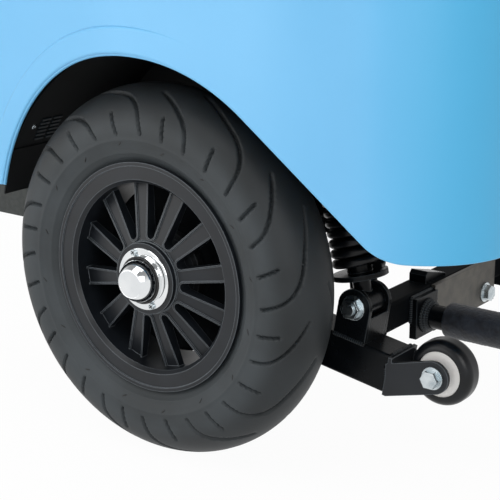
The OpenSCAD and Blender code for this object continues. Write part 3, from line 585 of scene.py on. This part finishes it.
def borderPlace(u, v):
    out = border["width"] * v
    r = guard["archR"] + out
    start = math.radians(border["from"])
    end = math.pi - math.asin(guard["low"] / r)
    turn = start + (end - start) * u
    swell = (math.degrees(turn) - border["fadeFrom"]) / (border["fadeTo"] - border["fadeFrom"])
    swell = min(max(swell, 0), 1)
    swell = swell * swell * (3 - 2 * swell)
    near = min((border["width"] - out) / border["shoulder"], out / border["shoulder"], 1)
    rise = border["rise"] * swell * math.sqrt(max(1 - (1 - near) ** 2, 0))
    rise += border["least"] * min(swell, near)
    x = guard["archX"] + r * math.cos(turn)
    return atWheel(x, guardFace(x) + border["sunk"] - rise, r * math.sin(turn))


def makeBorder():
    piece = shellGrid(border["steps"], borderPlace, border["thick"], 1)
    faceOut(piece)
    dress(piece, "archBorder", "frame", guardAbs, angle=60)


def edgeRoute():
    # follows the arch, the slope's foot and the rear corner along the middle of the guard's wall
    half = guard["wall"] / 2
    r = guard["archR"]
    slopeDx = guard["slopeX"] - guard["archX"]
    touch = math.atan2(guard["lowRear"], slopeDx) + math.acos(r / math.hypot(slopeDx, guard["lowRear"]))
    first = math.pi - math.asin(guard["low"] / r)
    line = []
    for i in range(rolledEdge["arcSteps"] + 1):
        turn = first + (touch - first) * i / rolledEdge["arcSteps"]
        line.append((guard["archX"] + r * math.cos(turn), r * math.sin(turn)))
    foot = Vector((guard["slopeX"], guard["lowRear"]))
    along = (Vector(line[-1]) - foot).normalized()
    halfTurn = math.acos(along.x) / 2
    slopeR = guard["slopeR"]
    middle = foot + Vector((math.cos(halfTurn), math.sin(halfTurn))) * slopeR / math.sin(halfTurn)
    steps = rolledEdge["cornerSteps"]
    for i in range(steps + 1):
        lean = math.pi / 2 + 2 * halfTurn + (math.pi - 2 * halfTurn) * i / steps
        line.append((middle.x + slopeR * math.cos(lean), middle.y + slopeR * math.sin(lean)))
    route = [atWheel(x, guardFace(x, half), z) for x, z in line]
    cornerX = guard["rear"] - guard["cornerR"]
    cornerY = guard["face"] + guard["cornerR"]
    bend = guard["cornerR"] - half
    begin = math.asin(min((line[-1][0] - cornerX) / bend, 1))
    for i in range(1, steps + 1):
        lean = begin + (math.pi / 2 - begin) * i / steps
        x, y = cornerX + bend * math.sin(lean), cornerY - bend * math.cos(lean)
        route.append(atWheel(x, y, guard["lowRear"]))
    route.append(atWheel(guard["rear"] - half, guard["inboard"] - half, guard["lowRear"]))
    return route


def makeRolledEdge():
    clearSelection()
    bpy.ops.curve.primitive_nurbs_path_add()
    piece = bpy.context.object
    piece.data.splines.clear()
    route = edgeRoute()
    strip = piece.data.splines.new("POLY")
    strip.points.add(len(route) - 1)
    for point, place in zip(strip.points, route):
        point.co = (*place, 1)
    piece.data.dimensions = "3D"
    piece.data.bevel_depth = rolledEdge["radius"] * mm
    piece.data.bevel_resolution = rolledEdge["sides"]
    piece.data.use_fill_caps = True
    pick(piece)
    bpy.ops.object.convert(target="MESH")
    dress(bpy.context.object, "rolledEdge", "frame", guardAbs, angle=60)


makeBorder()
makeRolledEdge()
print("guard trim made")


# Small fittings, each joined into one piece
plainAxes = (Vector((1, 0, 0)), Vector((0, 1, 0)), Vector((0, 0, 1)))
blobDetail = 2


def addShape(kind, size, place, axes):
    # a unit bar or blob, stretched to its size along the axes
    clearSelection()
    if kind == "bar":
        bpy.ops.mesh.primitive_cube_add(size=1)
    else:
        bpy.ops.mesh.primitive_ico_sphere_add(subdivisions=blobDetail, radius=0.5)
    piece = bpy.context.object
    turn = Matrix([axis * length * mm for axis, length in zip(axes, size)]).transposed().to_4x4()
    settle(piece, Matrix.Translation(place) @ turn)
    return piece


def joinPieces(pieces):
    clearSelection()
    for piece in pieces:
        piece.select_set(True)
    bpy.context.view_layer.objects.active = pieces[0]
    bpy.ops.object.join()
    return bpy.context.object


# Weld beads: rows round the bar are pairs of a distance from the plate and one from the bar
weld = {
    "radius": 2.3, "step": 2.2, "sunk": 1.0, "forkInset": 3.5, "armInset": 2.0,
    "barRows": ((0.6, 3.6), (3.4, 2.0), (6.0, 0.6)), "barSteps": 36,
}
frameSpots = {
    "armPivot": (-215.0, -9.2), "armSlope": 9.3, "armLength": 440.0, "armHalf": 20.0,
    "armOut": 60.0, "armIn": 100.0, "earAlong": 391.55, "earHalf": 18.0,
    "forkOut": 56.0, "forkIn": 104.0, "forkLow": -100.0, "forkHigh": -72.0,
    "plateX": 182.0, "plateThick": 8.0, "plateOut": 165.0, "plateIn": 208.0,
    "plateLow": -64.0, "plateHigh": -38.0, "barY": 187.0, "barZ": -60.0, "barR": 12.5,
    "towerOut": 112.0, "towerX": (155.0, 172.0), "towerFoot": -34.0,
}


def onArm(along, y, over):
    slope = math.radians(frameSpots["armSlope"])
    x, z = frameSpots["armPivot"]
    x += along * math.cos(slope) + over * math.sin(slope)
    z += over * math.cos(slope) - along * math.sin(slope)
    return Vector((x, y, z))


def weldRuns():
    spot = frameSpots
    runs = []
    for y in (spot["armOut"], spot["armIn"]):
        runs.append([onArm(spot["earAlong"] + k * spot["earHalf"], y, spot["armHalf"]) for k in (-1, 1)])
    endX = spot["armPivot"][0] + spot["armLength"] * math.cos(math.radians(spot["armSlope"])) - weld["sunk"]
    for y in (spot["forkOut"] + weld["forkInset"], spot["forkIn"] - weld["forkInset"]):
        runs.append([Vector((endX, y, z)) for z in (spot["forkLow"], spot["forkHigh"])])
    armSides = (spot["armOut"] + weld["armInset"], spot["armIn"] - weld["armInset"])
    runs.append([onArm(spot["armLength"], y, spot["armHalf"]) for y in armSides])
    plateX = spot["plateX"] + weld["sunk"]
    runs.append([Vector((plateX, y, spot["plateHigh"])) for y in (spot["plateOut"], spot["plateIn"])])
    runs.append([Vector((plateX, spot["plateOut"], z)) for z in (spot["plateLow"], spot["plateHigh"])])
    runs.append([Vector((x, spot["towerOut"], spot["towerFoot"])) for x in spot["towerX"]])
    turns = [math.tau * i / weld["barSteps"] for i in range(weld["barSteps"] + 1)]
    for out, over in weld["barRows"]:
        x, reach = spot["plateX"] + spot["plateThick"] + out, spot["barR"] + over
        runs.append([Vector((x, spot["barY"] + reach * math.cos(turn), spot["barZ"] + reach * math.sin(turn)))
                     for turn in turns])
    return runs


def makeWelds():
    beads = []
    for run in weldRuns():
        for a, b in zip(run[:-1], run[1:]):
            count = max(round((b - a).length / weld["step"]), 1)
            for i in range(count):
                spot = wheelCentre + a.lerp(b, (i + 0.5) / count) * mm
                beads.append(addShape("blob", (weld["radius"] * 2,) * 3, spot, plainAxes))
    dress(joinPieces(beads), "weldBeads", "frame", frameEnamel, angle=60)


vents = {"count": 16, "start": 10.3, "sections": (-104.0, -109.0), "size": (6.5, 1.5, 1.1), "lean": 35.0}


def makeVents():
    # moulded vent marks on both sidewalls
    marks = []
    for side in (1, -1):
        for i in range(vents["count"]):
            turn = math.radians(vents["start"] + 360 / vents["count"] * i)
            section = math.radians(vents["sections"][i % 2]) * side
            outward = Vector((math.cos(turn), 0, math.sin(turn)))
            normal = outward * math.cos(section) + Vector((0, math.sin(section), 0))
            around = Vector((-math.sin(turn), 0, math.cos(turn)))
            across = normal.cross(around)
            lean = math.radians(vents["lean"]) * side
            along = around * math.cos(lean) + across * math.sin(lean)
            spot = wheelCentre + (outward * tyre["reach"] + normal * tyre["round"]) * mm
            marks.append(addShape("blob", vents["size"], spot, (along, normal.cross(along), normal)))
    dress(joinPieces(marks), "tyreVents", "wheel", sealRubber, angle=60)


# The screws' cross slots are thin dark bars set on the heads: painted shade for the recesses
capScrews = {"at": 27.8, "angles": (113.0, 293.0), "face": -42.2, "slot": (4.2, 0.9, 0.5), "leans": (20, 110)}


def makeSlotShades():
    slotShades = []
    outward = Vector((0, -1, 0))
    for angle in capScrews["angles"]:
        a = math.radians(angle)
        spot = atWheel(capScrews["at"] * math.cos(a), capScrews["face"], capScrews["at"] * math.sin(a))
        for lean in capScrews["leans"]:
            a = math.radians(lean + angle)
            along = Vector((math.cos(a), 0, math.sin(a)))
            slotShades.append(addShape("bar", capScrews["slot"], spot, (along, outward.cross(along), outward)))
    dress(joinPieces(slotShades), "screwSlotShades", "wheel", sealRubber)


linerScrew = {"r": 227.0, "turn": 147.5, "y": 7.2, "size": (6.6, 6.6, 3.2)}
linerVent = {
    "r": 226.4, "turns": (145.4, 146.7, 148.0, 149.3, 150.6, 151.9), "columns": (21.0, 38.0),
    "bar": (13.0, 2.4, 2.0),
}


def linerSpot(r, turn, y):
    a = math.radians(turn)
    inward = Vector((-math.cos(a), 0, -math.sin(a)))
    place = atWheel(guard["archX"] - r * inward.x, y, -r * inward.z)
    return place, (Vector((0, 1, 0)), inward.cross(Vector((0, 1, 0))), inward)


def makeLinerFittings():
    place, axes = linerSpot(linerScrew["r"], linerScrew["turn"], linerScrew["y"])
    head = addShape("blob", linerScrew["size"], place, axes)
    dress(head, "linerScrew", "frame", boltZinc, angle=60)
    bars = []
    for turn in linerVent["turns"]:
        for y in linerVent["columns"]:
            place, axes = linerSpot(linerVent["r"], turn, y)
            bars.append(addShape("bar", linerVent["bar"], place, axes))
    dress(joinPieces(bars), "linerVent", "frame", ventPlastic)


# The flap that closes the well below the liner
splashFlap = {
    "r": 226.2, "from": 154.0, "to": 167.5, "out": -12.0, "in": 150.0, "steps": (2, 24), "thick": 1.6,
}


def flapPlace(u, v):
    turn = math.radians(splashFlap["from"] + (splashFlap["to"] - splashFlap["from"]) * v)
    y = splashFlap["out"] + (splashFlap["in"] - splashFlap["out"]) * u
    return atWheel(guard["archX"] + splashFlap["r"] * math.cos(turn), y, splashFlap["r"] * math.sin(turn))


def makeFlap():
    piece = shellGrid(splashFlap["steps"], flapPlace, splashFlap["thick"], 0)
    dress(piece, "splashFlap", "frame", panelPlastic)


makeWelds()
makeVents()
makeSlotShades()
makeLinerFittings()
makeFlap()
print("fittings made")


# Foam sleeve on the rear bar, with soft lips and a pitted skin
foamGrip = {
    "from": 215.0, "to": 329.0, "radius": 18.5, "bore": 12.6, "lip": 3.0, "lipSteps": 6,
    "pitch": 1.2, "turns": 96, "pitDeep": 0.9, "pitWide": 2.2,
}


def gripLine():
    # pairs of a place along the bar and a radius
    lip = foamGrip["lip"]
    shoulder = foamGrip["radius"] - lip
    start, end = foamGrip["from"] + lip, foamGrip["to"] - lip
    leans = [math.pi / 2 * i / foamGrip["lipSteps"] for i in range(foamGrip["lipSteps"] + 1)]
    count = round((end - start) / foamGrip["pitch"])
    line = [(foamGrip["from"], foamGrip["bore"])]
    line += [(start - lip * math.cos(lean), shoulder + lip * math.sin(lean)) for lean in leans]
    line += [(start + (end - start) * i / count, foamGrip["radius"]) for i in range(1, count)]
    line += [(end + lip * math.sin(lean), shoulder + lip * math.cos(lean)) for lean in leans]
    return line + [(foamGrip["to"], foamGrip["bore"])]


def makeFoamGrip():
    barY, barZ = frameSpots["barY"], frameSpots["barZ"]
    spots = [atWheel(x, barY, barZ + r) for x, r in gripLine()]
    piece = spinLine(spots, foamGrip["turns"], atWheel(0, barY, barZ), (1, 0, 0))
    pits = piece.modifiers.new("pits", "DISPLACE")
    pits.texture = bpy.data.textures.new("foamPits", "CLOUDS")
    pits.texture.noise_scale = foamGrip["pitWide"] * mm
    pits.texture_coords = "LOCAL"
    pits.mid_level = 1.0
    pits.strength = foamGrip["pitDeep"] * mm
    applyModifiers(piece)
    dress(piece, "foamGrip", "frame", sleeveFoam, angle=60)
    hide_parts("soft_sleeve")


makeFoamGrip()
print("foam sleeve made")


# Studio: pale floor, soft lamps, white surround, in metres
studio = {
    "floor": -0.139, "floorSize": 12, "floorTone": "#f4f4f4", "floorShare": 0.96,
    "surround": 0.42, "ceiling": 0.35, "dimFrom": 0.1, "dimTo": 0.8, "aim": (-0.1, -0.4, 0.05),
}
white = (1, 1, 1, 1)
# Lamps as place, size and power
lamps = [
    ((-0.35, -1.75, 2.0), 1.4, 15.5),
    ((1.5, -1.9, 1.0), 1.2, 14),
    ((0.0, -0.4, 2.4), 1.8, 13.5),
    ((-0.9, -1.5, 0.1), 1.3, 8),
]


def seenRays(tree):
    path = addNode(tree, "ShaderNodeLightPath")
    direct = addNode(tree, "ShaderNodeMath", {"operation": "MAXIMUM"},
                     {0: path.outputs["Is Camera Ray"], 1: path.outputs["Is Transmission Ray"]})
    seen = addNode(tree, "ShaderNodeMath", {"operation": "MAXIMUM"},
                   {0: direct.outputs[0], 1: path.outputs["Is Glossy Ray"]})
    return seen.outputs[0]


def mixInto(tree, kind, share, first, second):
    mix = addNode(tree, "ShaderNodeMixShader", None, {0: share, 1: first.outputs[0], 2: second.outputs[0]})
    addNode(tree, kind, None, {"Surface": mix.outputs[0]})


def makeFloor():
    clearSelection()
    bpy.ops.mesh.primitive_plane_add(size=studio["floorSize"], location=(0, 0, studio["floor"]))
    floor = bpy.context.object
    floor.name = "studioFloor"
    # Pale paint that keeps the shadow, and mostly white where it is seen
    material = bpy.data.materials.new("paleFloor")
    material.use_nodes = True
    tree = material.node_tree
    tree.nodes.clear()
    paint = addNode(tree, "ShaderNodeBsdfDiffuse", {"Color": toLinear(studio["floorTone"])})
    bright = addNode(tree, "ShaderNodeEmission", {"Color": white, "Strength": 1.0})
    share = addNode(tree, "ShaderNodeMath", {"operation": "MULTIPLY", 1: studio["floorShare"]},
                    {0: seenRays(tree)})
    mixInto(tree, "ShaderNodeOutputMaterial", share.outputs[0], paint, bright)
    floor.data.materials.append(material)


def makeWorld():
    world = bpy.data.worlds.new("studioWorld")
    bpy.context.scene.world = world
    world.use_nodes = True
    tree = world.node_tree
    tree.nodes.clear()
    soft = addNode(tree, "ShaderNodeBackground", {"Color": white, "Strength": studio["surround"]})
    place = addNode(tree, "ShaderNodeTexCoord").outputs["Generated"]
    height = addNode(tree, "ShaderNodeSeparateXYZ", None, {"Vector": place}).outputs["Z"]
    dim = eased(tree, height, studio["dimFrom"], studio["dimTo"], 1.0, studio["ceiling"])
    seenWhite = addNode(tree, "ShaderNodeBackground", {"Color": white}, {"Strength": dim})
    mixInto(tree, "ShaderNodeOutputWorld", seenRays(tree), soft, seenWhite)


def makeLamps():
    for place, size, power in lamps:
        bpy.ops.object.light_add(type="AREA", location=place)
        lamp = bpy.context.object
        lamp.data.size = size
        lamp.data.energy = power
        aim = Vector(studio["aim"]) - Vector(place)
        lamp.rotation_euler = aim.to_track_quat("-Z", "Y").to_euler()


makeFloor()
makeWorld()
makeLamps()
print("studio lit")
